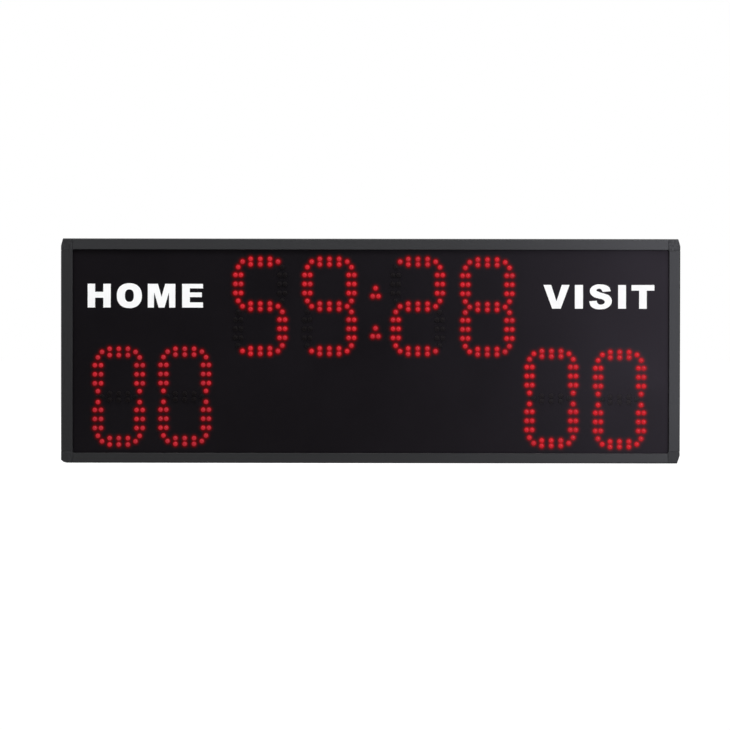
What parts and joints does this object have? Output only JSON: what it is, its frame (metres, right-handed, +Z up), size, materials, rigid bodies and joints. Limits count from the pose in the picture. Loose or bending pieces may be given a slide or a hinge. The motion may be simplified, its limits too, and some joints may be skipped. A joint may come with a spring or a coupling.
{
  "type": "electronic scoreboard",
  "caption": "Wall or tabletop LED scoreboard: a clock row over two score displays behind a black drilled panel in a dark metal frame, with a vented back and a mains inlet.",
  "frame": {"origin": "on the surface that the board stands on, under the middle of its whole box", "axes": "+Z up, +X to the right of someone who reads the display, +Y away from them: the display looks along -Y"},
  "size_m": [0.8, 0.0496, 0.29],
  "materials": {
    "frame_paint": "satin dark grey paint on aluminium rails",
    "corner_plastic": "finely grained dark grey moulding",
    "panel_plastic": "black sheet with a soft gloss",
    "lamp_red": "red epoxy lamp bodies",
    "cover_paint": "fine texture black powder coat",
    "zinc_steel": "bright zinc plate",
    "black_steel": "black oxide",
    "pad_rubber": "matt black rubber",
    "inlet_plastic": "black moulded plastic",
    "rocker_plastic": "smooth black moulded plastic",
    "nickel": "nickel plate",
    "fuse_glass": "clear glass tube",
    "amber_board": "paper laminate circuit board",
    "green_board": "green solder mask",
    "grey_ribbon": "grey ribbon lead",
    "brown_wire": "brown insulation",
    "earth_wire": "green and yellow insulation",
    "blue_wire": "blue insulation",
    "red_wire": "red insulation"
  },
  "bodies": {
    "board": {"rail_bottom": "frame_paint", "rail_top": "frame_paint", "rail_left": "frame_paint", "rail_right": "frame_paint", "corner_bottom_left": "corner_plastic", "corner_top_left": "corner_plastic", "corner_bottom_right": "corner_plastic", "corner_top_right": "corner_plastic", "face_panel": "panel_plastic", "lamps_clock_minute_tens": "lamp_red", "lamps_clock_minute_units": "lamp_red", "lamps_clock_second_tens": "lamp_red", "lamps_clock_second_units": "lamp_red", "lamps_home_tens": "lamp_red", "lamps_home_units": "lamp_red", "lamps_visit_tens": "lamp_red", "lamps_visit_units": "lamp_red", "lamps_clock_colon": "lamp_red", "back_cover": "cover_paint", "cover_screw_1": "zinc_steel", "cover_screw_2": "zinc_steel", "cover_screw_3": "zinc_steel", "cover_screw_4": "zinc_steel", "cover_screw_5": "zinc_steel", "cover_screw_6": "zinc_steel", "cover_screw_7": "zinc_steel", "cover_screw_8": "zinc_steel", "hanger_pivot_left": "black_steel", "hanger_pivot_right": "black_steel", "wall_pad_left": "pad_rubber", "wall_pad_right": "pad_rubber", "inlet_housing": "inlet_plastic", "inlet_pin_live": "nickel", "inlet_pin_earth": "nickel", "inlet_pin_neutral": "nickel", "supply_tray": "zinc_steel", "supply_hood": "zinc_steel", "supply_board": "amber_board", "control_board": "green_board", "coin_cell": "nickel", "buzzer": "inlet_plastic", "radio_module": "green_board", "ribbon_home": "grey_ribbon", "ribbon_visit": "grey_ribbon", "ribbon_clock": "grey_ribbon", "jumper_clock_minutes": "grey_ribbon", "jumper_clock_seconds": "grey_ribbon", "jumper_home": "grey_ribbon", "jumper_visit": "grey_ribbon", "jumper_colon_left": "grey_ribbon", "jumper_colon_right": "grey_ribbon", "wire_live": "brown_wire", "wire_earth": "earth_wire", "wire_neutral": "blue_wire", "wire_low_voltage": "red_wire"},
    "power_rocker": {"power_rocker": "rocker_plastic"},
    "fuse_drawer": {"fuse_drawer": "inlet_plastic", "fuse": "fuse_glass"},
    "hanger_left": {"hanger_left": "zinc_steel"},
    "hanger_right": {"hanger_right": "zinc_steel"}
  },
  "joints": [
    {"name": "power_rocker_tilt", "type": "hinge", "parent": "board", "child": "power_rocker", "pos_m": [0.15, 0.017, 0.0805], "axis": [0, 0, 1], "range_deg": [-18, 0]},
    {"name": "fuse_drawer_slide", "type": "slide", "parent": "board", "child": "fuse_drawer", "axis": [0, 1, 0], "range_m": [0, 0.015]},
    {"name": "hanger_left_swing", "type": "hinge", "parent": "board", "child": "hanger_left", "pos_m": [-0.29, 0.02175, 0.2805], "axis": [0, 1, 0], "continuous": true},
    {"name": "hanger_right_swing", "type": "hinge", "parent": "board", "child": "hanger_right", "pos_m": [0.29, 0.02175, 0.2805], "axis": [0, 1, 0], "continuous": true}
  ]
}
